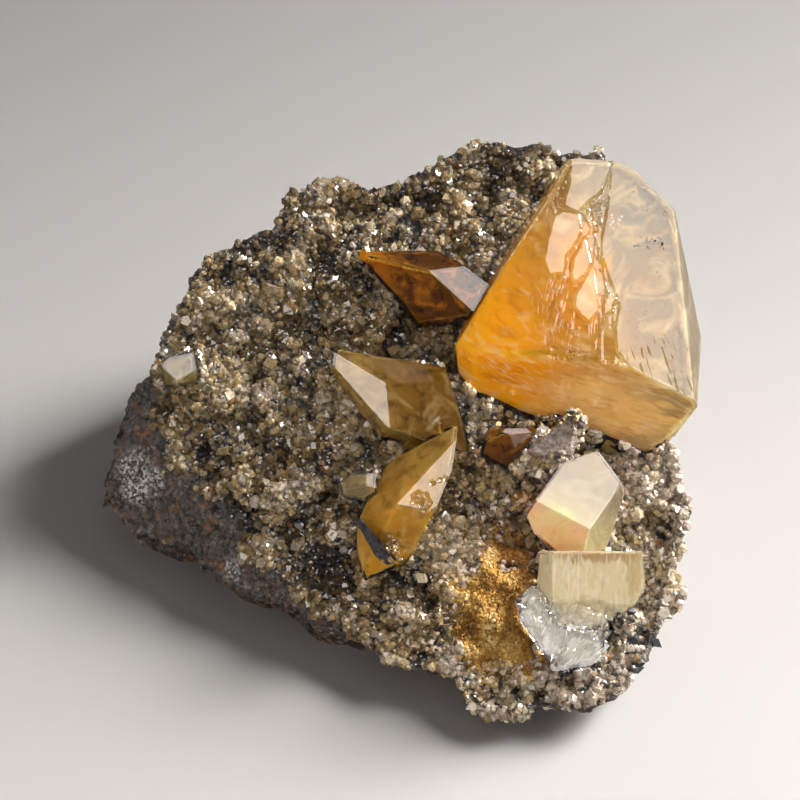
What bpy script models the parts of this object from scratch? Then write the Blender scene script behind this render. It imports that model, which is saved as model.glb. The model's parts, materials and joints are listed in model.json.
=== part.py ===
"""A golden calcite specimen: nine calcites and a rock flake on a block of druse-coated host rock.

The block lies on its broken underside at z = 0, +Z is up, and the druse face rises away from -Y.
The shapes are drawn in millimetres round a working centre on the rock, and the finished specimen
is moved so that its origin is the bottom centre of its box.
"""

import math

import bmesh
import bpy
from mathutils import Matrix, Vector, noise

MM = 0.001
BOX_CENTRE = (-1.14, -8.12)   # the middle of the specimen's box, from the working centre

# The block of host rock. The druse face is a plane through FACE_POINT that rises towards +Y.
FACE_POINT = (0.0, -5.8, 36.9)
FACE_SLOPE = math.radians(20)
FOOT_DEPTH = 0.7        # the uneven underside is this far below z = 0, where it is cut flat
FOOT_INSET = 0.88       # the underside is this share of the waist
CELL = 2.0              # grain of the rock mesh while it is shaped
KEEP = 0.3              # share of its triangles that stay in the finished solid
SOCKET_GAP = 0.3        # clearance between a crystal and the rock or crystal that holds it

# Each station runs from the rim of the druse face (x, y) to the waist of the broken side (x, y, z).
STATIONS = [
    ((-63, 5), (-73, 6, 21)),
    ((-59, 13), (-63, 16, 22)),
    ((-52, 31), (-54, 32, 22)),
    ((-41, 37), (-43, 41, 22)),
    ((-34, 40), (-34, 45, 22)),
    ((-29, 48), (-28, 51, 24)),
    ((-18, 53), (-16, 55, 24)),
    ((-8, 50), (-6, 55, 24)),
    ((8, 57), (8, 59, 24)),
    ((19, 63), (20, 62, 24)),
    ((37, 62), (37, 61, 24)),
    ((53, 59), (53, 57, 22)),
    ((60, 45), (60, 45, 20)),
    ((64, 25), (65, 25, 18)),
    ((66, 5), (67, 5, 16)),
    ((67, -14), (68, -14, 14)),
    ((72, -31), (71, -30, 12)),
    ((68, -45), (68, -44, 10)),
    ((64, -60), (63, -59, 8)),
    ((57, -72), (56, -73, 7)),
    ((47, -76), (45, -79, 7)),
    ((30, -74), (28, -79, 8)),
    ((18, -69), (17, -76, 8)),
    ((6, -61), (2, -67, 10)),
    ((-8, -53), (-17, -59, 10)),
    ((-24, -44), (-31, -52, 10)),
    ((-38, -32), (-41, -46, 10)),
    ((-43, -25), (-50, -40, 10)),
    ((-48, -15), (-60, -33, 10)),
    ((-54, -7), (-69, -29, 10)),
    ((-59, -1), (-78, -18, 13)),
]

# Hollows (negative height) and swellings of the druse face: (x, y), radius, height.
SWELLS = [
    ((8, 9), 8, -4.0),
    ((28, -37), 6, -5.0),
    ((-14, -40), 9, -3.0),
    ((2, -55), 8, -2.0),
    ((-38, 20), 10, -2.0),
    ((-22, 36), 12, 2.0),
    ((20, -20), 4, 2.5),
    ((23, -54), 8, 0.8),
    ((60, -30), 8, 1.0),
    ((-30, -12), 12, 1.0),
]

# Roughness of the rock: lumps of the druse and facets of the broken sides, as (size, height).
LUMPS = [(19, 1.6), (8, 1.1), (4.2, 0.7)]
FACETS = (17, 4.0)
CHIPS = (6, 1.2)
BLANK = 160             # side of the cube that a crystal is cut from
BELOW = 200             # side of the cube that cuts the underside flat

# Each crystal is a block cut by its faces, seen from its middle (x, y, z): every face has the
# bearing and the rise of its outward direction in degrees, and its distance from the middle.
GREAT = (43, 14, 51), [
    (-53, 69, 20.2), (-145, 55, 17.6), (-110, 2, 24.6), (-127, 63, 17.2),
    (-5, 23, 28.7), (90, 25, 31.4), (57, 20, 32.1), (41, 16, 30.5),
    (14, 1, 26.6), (-10, -19, 30.2), (-32, -31, 37.4), (149, 16, 21.3),
    (158, 23, 20.1), (173, -6, 27.7), (-136, -2, 30.3), (90, -70, 15.5),
]
AMBER = (9, 20, 49), [
    (95, 72, 8.2), (-123, 27, 6.8), (-72, 71, 9.2), (-151, -29, 9.3), (90, 34, 9.6),
    (47, 25, 7.8), (-81, -40, 8.8), (4, 4, 18.9), (90, -70, 7.5),
]
HONEY = (1, -7, 38), [
    (-110, 66, 9.4), (-41, 61, 6.7), (35, 73, 7.1), (-141, -5, 10.3), (80, 34, 9.8),
    (-105, -21, 10.2), (-154, -27, 10.2), (172, -1, 17.6), (13, 11, 12.2), (90, -70, 6.4),
]
WEDGE = (5, -11, 35), [
    (-85, 3, 7.6), (-94, 15, 7.8), (143, 40, -0.5), (13, 11, 4.8), (-105, -39, 7.6),
    (90, -70, 5.0),
]
DOUBLE = (2, -30, 30), [
    (-77, 69, 10.9), (170, 43, 6.5), (173, 69, 8.5), (-94, 32, 12.4), (-156, 36, 10.0),
    (-58, 8, 12.4), (-4, -15, 7.3), (-16, -20, 5.9), (121, 29, 9.3), (159, 10, 8.5),
    (-57, -41, 13.5), (180, 0, 12.3), (-166, -11, 16.0), (90, -70, 7.8),
]
FOOT = (28, -17, 34.4), [
    (-104, 34, 6.7), (-82, 42, 6.7), (-81, 70, 7.3), (162, 7, 7.0), (-125, -28, 7.7),
    (-46, -31, 6.6), (14, 12, 7.4), (150, 52, 6.6), (30, 50, 6.3), (90, 40, 3.4),
    (90, -70, 6.4),
]
CREAM = (41, -33, 32), [
    (-83, 67, 11.6), (-111, 19, 13.1), (-42, 31, 14.2), (-38, 4, 11.6), (31, 16, 10.6),
    (51, 27, 12.1), (113, 32, 8.7), (148, 17, 6.6), (-167, -18, 10.6), (-138, -36, 10.8),
    (-6, -12, 10.9), (-90, -40, 12.2), (90, -70, 10.7),
]
CLEAVED = (44, -53, 25), [
    (-86, 53, 9.8), (-157, 28, 13.0), (-88, 35, 10.5), (90, 31, 7.2), (170, -3, 11.0),
    (7, -3, 11.8), (-21, -24, 10.0), (-42, -36, 8.5), (-98, -40, 10.6), (-150, -30, 10.6),
    (90, -70, 11.0),
]
ROOT = (38, -59, 19), [
    (-94, 44, 6.7), (-129, 51, 6.9), (-78, 19, 10.7), (145, 22, 11.3), (-177, -7, 10.3),
    (-154, -24, 8.0), (-132, -35, 9.9), (-82, -43, 11.7), (-32, -28, 13.0), (-3, -6, 10.2),
    (68, 38, 6.4), (90, -70, 6.4),
]
EDGE = (-54, 2, 40), [
    (-81, 70, 4.8), (-128, 9, 5.8), (-59, 12, 5.9), (176, 4, 4.3), (105, 39, 3.0),
    (9, 7, 3.9), (-82, -40, 4.5), (150, 30, 4.1), (90, -70, 3.2),
]
PALE = (-10, -27, 30), [
    (-74, 69, 5.5), (-150, 54, 3.6), (-102, 12, 3.8), (-166, -12, 4.6), (134, 31, 3.4),
    (82, 40, 3.4), (5, 4, 4.3), (-105, -39, 3.4), (90, -70, 3.8),
]
# The spur is a shard of the rock itself, and the flake a loose sliver that stuck to a crystal.
SPUR = (35, -21, 37), [
    (-101, 45, 8.5), (138, 26, 3.0), (40, 15, 9.6), (-1, -8, 8.1), (-31, -16, 7.7),
    (-48, -23, 7.0), (176, 4, 9.3), (-132, -26, 16.2), (90, -70, 11.3),
]
FLAKE = (-6, -43, 29), [
    (-119, 39, 2.8), (36, 23, 1.1), (-158, -21, 1.5), (-136, -33, 2.5), (-63, -40, 6.0),
    (-7, -10, 5.3), (104, 36, 6.0), (61, -39, 3.6),
]

parts = bpy.data.collections.new("calcite_specimen")
cutters = bpy.data.collections.new("cutters")


def clear_scene():
    for old in list(bpy.data.objects):
        bpy.data.objects.remove(old, do_unlink=True)
    for group in (parts, cutters):
        bpy.context.scene.collection.children.link(group)


def material(name, colour, roughness, metallic=0.0):
    made = bpy.data.materials.new(name)
    made.use_nodes = True
    shader = made.node_tree.nodes["Principled BSDF"]
    shader.inputs["Base Color"].default_value = (*colour, 1.0)
    shader.inputs["Roughness"].default_value = roughness
    shader.inputs["Metallic"].default_value = metallic
    made.diffuse_color = (*colour, 1.0)
    return made


def add_object(name, bm, group, finish=None):
    """Turn a bmesh in millimetres into an object in metres and put it in its collection."""
    bmesh.ops.scale(bm, vec=(MM, MM, MM), verts=bm.verts)
    mesh = bpy.data.meshes.new(name)
    bm.to_mesh(mesh)
    bm.free()
    made = bpy.data.objects.new(name, mesh)
    group.objects.link(made)
    if finish:
        mesh.materials.append(finish)
    if group is cutters:
        made.hide_render = True
        made.display_type = "WIRE"
    return made


def baked(made):
    """The object's evaluated mesh as a bmesh in millimetres; the object itself goes away."""
    graph = bpy.context.evaluated_depsgraph_get()
    mesh = bpy.data.meshes.new_from_object(made.evaluated_get(graph))
    bpy.data.objects.remove(made, do_unlink=True)
    bm = bmesh.new()
    bm.from_mesh(mesh)
    bpy.data.meshes.remove(mesh)
    bmesh.ops.scale(bm, vec=(1 / MM, 1 / MM, 1 / MM), verts=bm.verts)
    return bm


def boolean(made, other, operation):
    cut = made.modifiers.new(operation.lower() + "_" + other.name, "BOOLEAN")
    cut.object = other
    cut.operation = operation
    cut.solver = "EXACT"


def direction(bearing, rise):
    turn = math.radians(bearing)
    lift = math.radians(rise)
    return Vector((math.cos(turn) * math.cos(lift), math.sin(turn) * math.cos(lift), math.sin(lift)))


def cut_block(shape, grow=0.0):
    """A block cut flat by every face of the crystal, each moved out by grow."""
    middle, faces = shape
    bm = bmesh.new()
    bmesh.ops.create_cube(bm, size=BLANK, matrix=Matrix.Translation(middle))
    for bearing, rise, distance in faces:
        outward = direction(bearing, rise)
        spot = Vector(middle) + outward * (distance + grow)
        everything = bm.verts[:] + bm.edges[:] + bm.faces[:]
        cut = bmesh.ops.bisect_plane(
            bm, geom=everything, plane_co=spot, plane_no=outward, clear_outer=True
        )
        rim = [item for item in cut["geom_cut"] if isinstance(item, bmesh.types.BMEdge)]
        bmesh.ops.edgenet_fill(bm, edges=rim)
    bmesh.ops.recalc_face_normals(bm, faces=bm.faces)
    return bm


def ring(bm, points):
    made = [bm.verts.new(point) for point in points]
    return [bm.edges.new((made[i - 1], made[i])) for i in range(len(made))]


def face_height(y):
    return FACE_POINT[2] + (y - FACE_POINT[1]) * math.tan(FACE_SLOPE)


def rock_loft():
    """Rim, waist and foot rings bridged into one closed block."""
    rim = [(x, y, face_height(y)) for (x, y), waist in STATIONS]
    waist = [low for rim_point, low in STATIONS]
    foot = [(x * FOOT_INSET, y * FOOT_INSET, -FOOT_DEPTH) for x, y, z in waist]
    bm = bmesh.new()
    rings = [ring(bm, points) for points in (rim, waist, foot)]
    bmesh.ops.bridge_loops(bm, edges=rings[0] + rings[1])
    bmesh.ops.bridge_loops(bm, edges=rings[1] + rings[2])
    bmesh.ops.contextual_create(bm, geom=rings[0])
    bmesh.ops.contextual_create(bm, geom=rings[2])
    bmesh.ops.triangulate(bm, faces=bm.faces)
    bmesh.ops.recalc_face_normals(bm, faces=bm.faces)
    return bm


def swell(point):
    rise = 0.0
    for (x, y), radius, height in SWELLS:
        away = math.hypot(point.x - x, point.y - y) / radius
        rise += height * math.exp(-away * away)
    return rise


def roughen(bm):
    """Lumpy druse on top, flat broken facets round the sides."""
    bm.normal_update()
    moves = []
    for vert in bm.verts:
        point = vert.co
        top = min(max((vert.normal.z - 0.55) / 0.3, 0.0), 1.0)
        lumps = sum(height * noise.noise(point / size) for size, height in LUMPS)
        nearest = noise.voronoi(point / FACETS[0])[0][0]
        facets = FACETS[1] * (0.45 - nearest) + CHIPS[1] * noise.noise(point / CHIPS[0])
        moves.append(vert.normal * (top * (lumps + swell(point)) + (1 - top) * facets))
    for vert, move in zip(bm.verts, moves):
        vert.co += move


def build_rock(finish):
    """The host rock: loft and spur joined, remeshed, roughened, thinned and cut flat below."""
    block = add_object("rock_blank", rock_loft(), cutters)
    spur = add_object("spur_blank", cut_block(SPUR), cutters)
    boolean(block, spur, "UNION")
    remesh = block.modifiers.new("even_cells", "REMESH")
    remesh.mode = "VOXEL"
    remesh.voxel_size = CELL * MM
    bm = baked(block)
    bpy.data.objects.remove(spur, do_unlink=True)
    roughen(bm)
    rough = add_object("rough_rock", bm, cutters)
    thin = rough.modifiers.new("fewer_triangles", "DECIMATE")
    thin.ratio = KEEP
    bm = baked(rough)
    rock = add_object("matrix", bm, parts, finish)
    ground = bmesh.new()
    below = Matrix.Translation((0, 0, -BELOW / 2))
    bmesh.ops.create_cube(ground, size=BELOW, matrix=below)
    boolean(rock, add_object("ground", ground, cutters), "DIFFERENCE")
    return rock


def build_crystal(name, shapes, finish):
    """The crystal, and the slightly larger copy that makes room for it in what holds it."""
    made = add_object(name, cut_block(shapes[0]), parts, finish)
    room = add_object(name + "_room", cut_block(shapes[0], SOCKET_GAP), cutters)
    for number, shape in enumerate(shapes[1:]):
        boolean(made, add_object(f"{name}_joined_{number}", cut_block(shape), cutters), "UNION")
        extra = add_object(f"{name}_room_{number}", cut_block(shape, SOCKET_GAP), cutters)
        boolean(room, extra, "UNION")
    return made, room


def build():
    clear_scene()
    rock = build_rock(material("druse_coated_rock", (0.09, 0.075, 0.055), 0.75))
    gold = material("golden_calcite", (0.72, 0.36, 0.06), 0.15)
    amber = material("amber_calcite", (0.3, 0.13, 0.03), 0.15)
    honey = material("honey_calcite", (0.42, 0.27, 0.1), 0.15)
    cream = material("cream_calcite", (0.78, 0.66, 0.46), 0.2)
    clear = material("clear_calcite", (0.62, 0.58, 0.45), 0.15)
    dark = material("dark_rock", (0.06, 0.055, 0.06), 0.7)

    great, great_room = build_crystal("calcite_great", [GREAT], gold)
    upper, upper_room = build_crystal("calcite_amber", [AMBER], amber)
    left, left_room = build_crystal("calcite_honey", [HONEY, WEDGE], honey)
    double, double_room = build_crystal("calcite_double", [DOUBLE], honey)
    foot, foot_room = build_crystal("calcite_foot", [FOOT], amber)
    pale_front, cream_room = build_crystal("calcite_cream", [CREAM], cream)
    block, block_room = build_crystal("calcite_cleaved", [CLEAVED, ROOT], clear)
    edge, edge_room = build_crystal("calcite_edge", [EDGE], honey)
    small, small_room = build_crystal("calcite_pale", [PALE], cream)
    flake, flake_room = build_crystal("rock_flake", [FLAKE], dark)

    # Where two crystals meet, the later one stops at the earlier one.
    for later in (upper, left, foot, pale_front):
        boolean(later, great_room, "DIFFERENCE")
    boolean(left, double_room, "DIFFERENCE")
    boolean(pale_front, block_room, "DIFFERENCE")
    boolean(small, double_room, "DIFFERENCE")
    boolean(flake, double_room, "DIFFERENCE")

    rooms = [great_room, upper_room, left_room, double_room, foot_room, cream_room]
    rooms += [block_room, edge_room, small_room, flake_room]
    for room in rooms:
        boolean(rock, room, "DIFFERENCE")

    to_origin = Matrix.Translation((-BOX_CENTRE[0] * MM, -BOX_CENTRE[1] * MM, 0))
    for group in (parts, cutters):
        for made in group.objects:
            made.data.transform(to_origin)


build()
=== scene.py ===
# %% [markdown]
# # A golden calcite specimen
#
# Nine calcite crystals sit on a broken block of rock. Its top is coated with a druse, a crust of
# glassy crystals one or two millimetres across, over dark sulphide ore. This lesson builds the
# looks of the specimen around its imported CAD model: rock, druse, clear crystals, a pale studio.

# %% Frame
import json
import math

import bmesh
import bpy
import numpy as np
from mathutils import Matrix, Vector, noise
from mathutils.bvhtree import BVHTree
from mathutils.geometry import intersect_point_line

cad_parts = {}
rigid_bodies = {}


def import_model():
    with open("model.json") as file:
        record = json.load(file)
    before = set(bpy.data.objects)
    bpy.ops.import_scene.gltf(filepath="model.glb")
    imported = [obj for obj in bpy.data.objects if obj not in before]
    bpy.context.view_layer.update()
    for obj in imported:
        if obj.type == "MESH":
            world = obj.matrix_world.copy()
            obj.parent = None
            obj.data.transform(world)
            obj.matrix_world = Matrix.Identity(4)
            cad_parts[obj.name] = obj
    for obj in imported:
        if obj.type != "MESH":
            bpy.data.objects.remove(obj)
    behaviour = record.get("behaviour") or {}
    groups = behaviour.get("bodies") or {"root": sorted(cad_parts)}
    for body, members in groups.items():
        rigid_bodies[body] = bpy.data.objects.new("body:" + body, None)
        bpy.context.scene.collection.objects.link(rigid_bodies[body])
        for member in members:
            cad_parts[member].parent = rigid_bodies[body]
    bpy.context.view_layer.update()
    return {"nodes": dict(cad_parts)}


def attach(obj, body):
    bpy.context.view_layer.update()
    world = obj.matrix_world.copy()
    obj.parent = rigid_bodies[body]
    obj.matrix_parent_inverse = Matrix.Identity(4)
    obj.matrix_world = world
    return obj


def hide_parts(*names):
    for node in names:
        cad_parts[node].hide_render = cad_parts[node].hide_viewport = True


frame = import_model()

MM = 0.001
print("nodes:", ", ".join(sorted(frame["nodes"])))

# %% [markdown]
# ## Colours and nodes
#
# A colour is easiest to read as the hex value of a picture program, but a shader works with linear
# light, so one function turns the first into the second. Another adds any shader node with its
# settings and links, so that each material below reads as a list of what it is made of. In a Mix
# node of colours, input 0 is the share, and inputs 6 and 7 are the two colours.

# %% Helpers for materials


def linear(code):
    """An sRGB hex colour as linear red, green, blue and alpha."""
    shares = [int(code[i : i + 2], 16) / 255 for i in (1, 3, 5)]
    return (*[s / 12.92 if s <= 0.04045 else ((s + 0.055) / 1.055) ** 2.4 for s in shares], 1.0)


def add(tree, kind, inputs=None, stops=(), **settings):
    """Add a node with its settings. An input is a value, or another node's output. Stops are the
    positions and hex colours of a colour ramp."""
    made = tree.nodes.new("ShaderNode" + kind)
    for name, value in settings.items():
        setattr(made, name, value)
    for name, value in (inputs or {}).items():
        if isinstance(value, bpy.types.NodeSocket):
            tree.links.new(value, made.inputs[name])
        else:
            made.inputs[name].default_value = value
    if stops:
        elements = made.color_ramp.elements
        while len(elements) < len(stops):
            elements.new(1.0)
        for element, (position, code) in zip(elements, stops):
            element.position = position
            element.color = linear(code)
    return made


def new_material(name, inputs=None):
    """A material with a Principled shader, its node tree, the shader and the output."""
    made = bpy.data.materials.new(name)
    made.use_nodes = True
    tree = made.node_tree
    tree.nodes.clear()
    shader = add(tree, "BsdfPrincipled", inputs)
    output = add(tree, "OutputMaterial", {"Surface": shader.outputs[0]})
    return made, tree, shader, output


# %% [markdown]
# ## Pieces
#
# Every piece is made in a bmesh, in metres and in the CAD model's frame. Its object stays at the
# origin, so that patterns on object coordinates lie where the mesh is.

# %% Helpers for pieces


def put(name, data):
    """An object in the scene."""
    made = bpy.data.objects.new(name, data)
    bpy.context.scene.collection.objects.link(made)
    return made


def as_mesh(name, bm):
    """A mesh in place of a bmesh."""
    mesh = bpy.data.meshes.new(name)
    bm.to_mesh(mesh)
    bm.free()
    return mesh


def add_piece(name, bm, material, replaces=()):
    """Turn a bmesh into a piece that rides on the specimen."""
    return add_mesh(name, as_mesh(name, bm), material, replaces)


def add_mesh(name, mesh, material, replaces=()):
    """Turn a mesh into a piece that rides on the specimen."""
    piece = put(name, mesh)
    mesh.materials.append(material)
    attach(piece, "root")
    if replaces:
        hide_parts(*replaces)
    print(f"{name}: {len(mesh.polygons)} faces")
    return piece


def merged_copy(node):
    """A CAD node's loose triangles merged into one closed shell."""
    bm = bmesh.new()
    bm.from_mesh(frame["nodes"][node].data)
    bmesh.ops.remove_doubles(bm, verts=bm.verts, dist=0.001 * MM)
    return bm


def displace(verts, moves):
    """Move vertices once all moves are known."""
    for vert, move in zip(verts, moves):
        vert.co += move


# %% [markdown]
# ## Camera
#
# The specimen is seen from in front and well above, 50 degrees over the table, through a long lens
# that keeps its shape nearly free of perspective.

# %% Camera
CAMERA_RISE = math.radians(50)
CAMERA_DISTANCE = 555.6 * MM
AIM = Vector((1.14, 8.12, 30.0)) * MM

lens = bpy.data.cameras.new("camera")
lens.lens = 100
lens.sensor_width = 36
camera = put("camera", lens)
forward = Vector((0, math.cos(CAMERA_RISE), -math.sin(CAMERA_RISE)))
camera.location = AIM - forward * CAMERA_DISTANCE
camera.rotation_euler = (math.pi / 2 - CAMERA_RISE, 0, 0)
bpy.context.scene.camera = camera
print("camera:", [round(value / MM) for value in camera.location], "mm")

# %% [markdown]
# ## Table and light
#
# Clear crystals are drawn by what they reflect and by the light that shines into them, so the light
# matters as much as the shapes. The real shadow falls to the left and has a soft edge: the light is
# one softbox low at the right and a little behind. It is made twice: one copy lights the specimen,
# and a weaker, slightly higher one the table, so that the shadow lies right and the paper stays
# grey. The faces that look up mirror a white card overhead. Three cards shine only into the clear
# crystals, which keeps them bright and free of noise. Two weak cards and a dim room fill the rest.

# %% Table and lights
# Matt paper: pale, slightly warm grey without any gloss, so that the crystals are the only shine.
paper, tree, shader, output = new_material("matt_white_paper", {
    "Base Color": linear("#e5e1df"), "Roughness": 0.9, "Specular IOR Level": 0.2})
bm = bmesh.new()
bmesh.ops.create_grid(bm, x_segments=1, y_segments=1, size=3.0)
table = put("table", as_mesh("table", bm))
table.data.materials.append(paper)


def add_softbox(name, spot, aim, size, radiance, colour):
    """A rectangular light at a spot, turned to an aim, of a given radiance."""
    light = bpy.data.lights.new(name, "AREA")
    light.shape = "RECTANGLE"
    light.size, light.size_y = size
    light.energy = radiance * math.pi * size[0] * size[1]
    light.color = linear(colour)[:3]
    made = put(name, light)
    made.location = spot
    made.rotation_euler = (Vector(aim) - Vector(spot)).to_track_quat("-Z", "Y").to_euler()
    print(f"{name}: {size[0]} x {size[1]} m")
    return made


def from_table(bearing, rise, distance):
    """A spot seen from the specimen at a bearing from +X, a height angle and a distance."""
    turn, lift = math.radians(bearing), math.radians(rise)
    level = math.cos(lift)
    return AIM + distance * Vector((math.cos(turn) * level, math.sin(turn) * level, math.sin(lift)))


def key_light(name, bearing, rise, aim, radiance):
    """A copy of the key softbox, 1.4 metres away, with a spread that keeps it off the far table."""
    spot = from_table(bearing, rise, 1.4)
    made = add_softbox(name, spot, (*aim, 0.0), (0.68, 0.68), radiance, "#fffdfa")
    made.data.spread = math.radians(56)
    made.visible_transmission = False
    return made


key = key_light("key_softbox", 25, 30, (0.0, -0.45), 6.2)
key_on_table = key_light("key_softbox_on_table", 20, 33, (0.08, -0.36), 3.95)
overhead = add_softbox("overhead_card", (0.10, 0.05, 0.64), (0.10, 0.05, 0.0), (0.71, 0.42), 5.4,
                       "#fff8f4")
overhead.rotation_euler.z = math.radians(15)
overhead.visible_diffuse = False
overhead.visible_transmission = False

CARDS = [  # name; bearing, rise and distance; size in metres, radiance, colour
    ("front_fill_card", (275, 45, 0.9), (0.9, 0.6), 1.4, "#fff8f0"),
    ("fill_card", (225, 14, 0.9), (0.9, 0.4), 0.7, "#fff4ea"),
    ("side_card", (12, 38, 0.8), (0.9, 0.7), 3.4, "#fff6ea"),
    ("front_card", (262, 32, 0.8), (0.9, 0.6), 3.0, "#fff6ea"),
    ("left_card", (195, 30, 0.8), (0.7, 0.6), 2.6, "#fff6ea"),
]
front_fill, fill, *into_crystals = [
    add_softbox(name, from_table(*place), AIM, *rest) for name, place, *rest in CARDS]
front_fill.visible_transmission = False
fill.visible_glossy = False
for card in into_crystals:
    card.visible_diffuse = False
    card.visible_glossy = False

room = bpy.data.worlds.new("room")
bpy.context.scene.world = room
room.use_nodes = True
background = room.node_tree.nodes["Background"].inputs
background["Color"].default_value = linear("#d9dade")
background["Strength"].default_value = 0.12
bpy.context.scene.view_settings.view_transform = "Standard"

# %% [markdown]
# ## Host rock
#
# The block is dark ore that broke along rough curved facets. The CAD solid reaches the tips of the
# druse, so the rock lies a little below it. It could be sculpted, but then no step could be
# repeated. Here a merged copy is divided finely and noise moves every point inwards. Under the
# druse the surface is rounded lumps with deep seams, as sulphide grows in knobs; the broken sides
# are only chipped. In the sockets the rock moves the other way, into the crystals: a real crystal
# grows right onto its rock, and a film of air between them would shine like silver.

# %% Rock mesh
FACE_MIDDLE = Vector((1.14, 2.32, 36.9)) * MM
FACE_SLOPE = math.radians(20)
SOCKET_GAP = 0.6 * MM


def spot_at(middle, radii):
    """Middle and radii of an ellipsoid, from millimetres."""
    return Vector(middle) * MM, Vector(radii) * MM


OCHRE = spot_at((25, -48, 19), (12, 19, 11))
SPUR_TOP = spot_at((37, -16.5, 45), (9, 6, 5))
HOLLOWS = [spot_at(middle, (radius, radius, radius)) for middle, radius in (
    ((-23, -32, 23), 8), ((-15.5, -37, 20.5), 7.5), ((-33, 47, 53), 4.5), ((1, 19.5, 41.5), 5),
    ((29, -25.5, 24), 4.5), ((-45, 20, 42.5), 3.5), ((-49, -9, 30), 3.5), ((11, 13, 38), 5),
    ((7, -43, 20), 4))]


def below_face(point):
    """Millimetres that a point lies under the plane of the druse face."""
    height = FACE_MIDDLE.z + (point.y - FACE_MIDDLE.y) * math.tan(FACE_SLOPE)
    return (height - point.z) * math.cos(FACE_SLOPE) / MM


def step(low, high, value):
    """0 below low, 1 above high and a soft step between."""
    share = min(max((value - low) / (high - low), 0.0), 1.0)
    return share * share * (3 - 2 * share)


def bumps(point, size, seed=0.0):
    """Smooth noise of a size in millimetres, from -1 to 1."""
    return noise.noise(point / (size * MM) + Vector((seed, -seed, seed)))


def knobs(point, size, seed=0.0):
    """0 on rounded lumps of a size in millimetres, up to 1 in the seams between them."""
    near = noise.voronoi(point / (size * MM) + Vector((seed, seed, -seed)))[0]
    return 1 - step(0.0, 0.45, near[1] - near[0])


def clump(point):
    """1 where glassy grains stand in clumps, 0 in the dark sulphide between them."""
    return step(-0.12, 0.2, bumps(point, 8.5, 12) + 0.55 * bumps(point, 3.6, 13))


def inside_spot(point, spot):
    """1 in the middle of an ellipsoid, 0 outside its uneven edge."""
    middle, radii = spot
    away = Vector([(p - m) / r for p, m, r in zip(point, middle, radii)]).length
    return step(1.2, 0.7, away + 0.35 * bumps(point, 4, 9))


hulls = bmesh.new()
for name in sorted(frame["nodes"]):
    if name != "matrix":
        hulls.from_mesh(frame["nodes"][name].data)
hull_tree = BVHTree.FromBMesh(hulls)
hulls.free()


def crystal_gap(point, reach):
    """Distance to the nearest crystal in metres, negative inside one, or reach if none is near."""
    spot, normal, index, distance = hull_tree.find_nearest(point, reach)
    if spot is None:
        return reach
    return distance if (point - spot).dot(normal) >= 0 else -distance


def druse_share(point, normal):
    """1 where the rock carries druse, 0 on its broken sides, the ochre spot and the spur's top."""
    upward = step(0.25, 0.6, normal.z)
    near_top = step(7.0, 2.5, below_face(point) + 1.5 * bumps(point, 9, 3))
    bare = max(inside_spot(point, OCHRE), inside_spot(point, SPUR_TOP))
    return upward * near_top * (1 - bare)


bm = merged_copy("matrix")
bmesh.ops.subdivide_edges(bm, edges=bm.edges, cuts=3, use_grid_fill=True)
bmesh.ops.triangulate(bm, faces=bm.faces)
bm.normal_update()
coat = bm.verts.layers.float.new("coat")
ochre = bm.verts.layers.float.new("ochre")
hollow = bm.verts.layers.float.new("hollow")
moves = []
for vert in bm.verts:
    point, normal = vert.co, vert.normal
    share = druse_share(point, normal)
    seam = 0.6 * knobs(point, 8.5, 1) + 0.4 * knobs(point, 3.8, 2)
    pit = max(step(0.15, 0.6, bumps(point, 10, 1)), *[inside_spot(point, spot) for spot in HOLLOWS])
    low = 1 - clump(point)
    vert[coat] = share
    vert[ochre] = inside_spot(point, OCHRE)
    # Painted shade: the ore and the grains are made darker where this hollow value is high.
    vert[hollow] = min(seam * 0.6 + pit * 0.8 + low * 0.35, 1.0)
    if crystal_gap(point, SOCKET_GAP) < SOCKET_GAP:
        moves.append(normal * MM)
        continue
    chips = 1.6 + 1.3 * bumps(point, 8, 4) + 1.4 * abs(bumps(point, 4, 5))
    chips += 0.7 * bumps(point, 1.6, 6)
    chips *= 1 - 0.7 * inside_spot(point, SPUR_TOP)
    depth = share * (0.6 + 3.0 * seam + 4.6 * pit + 2.2 * low) + (1 - share) * chips
    depth *= step(0.0, 2.0, point.z / MM)
    moves.append(normal * -depth * MM)
displace(bm.verts, moves)
for vert in bm.verts:
    vert.co.z = max(vert.co.z, 0.0)
bm.normal_update()
print("rock points:", len(bm.verts))

# %% [markdown]
# ### The rock's finish
#
# Under the druse the rock is dark sulphide with a metallic, slightly lavender shine. The broken
# sides are greyer, with rust where the iron weathered and pale, coarsely crystalline patches. There
# a cell pattern gives every grain a lean of its own, and the grains that face the light flash. One
# spot at the front is yellow iron ochre. It is all one material, as one stain runs into the next.

# %% Rock finish


def leaning(tree, place, size, lean):
    """A normal that leans at random from grain to grain, and a random value."""
    cells = add(tree, "TexVoronoi", {"Vector": place, "Scale": 1 / (size * MM)}, feature="F1")
    centred = add(tree, "VectorMath", {0: cells.outputs["Color"], 1: (0.5, 0.5, 0.5)},
                  operation="SUBTRACT")
    scaled = add(tree, "VectorMath", {0: centred.outputs[0], "Scale": lean}, operation="SCALE")
    base = add(tree, "NewGeometry").outputs["Normal"]
    tilted = add(tree, "VectorMath", {0: base, 1: scaled.outputs[0]}, operation="ADD")
    unit = add(tree, "VectorMath", {0: tilted.outputs[0]}, operation="NORMALIZE")
    value = add(tree, "SeparateColor", {"Color": cells.outputs["Color"]}).outputs[0]
    return unit.outputs[0], value


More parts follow.
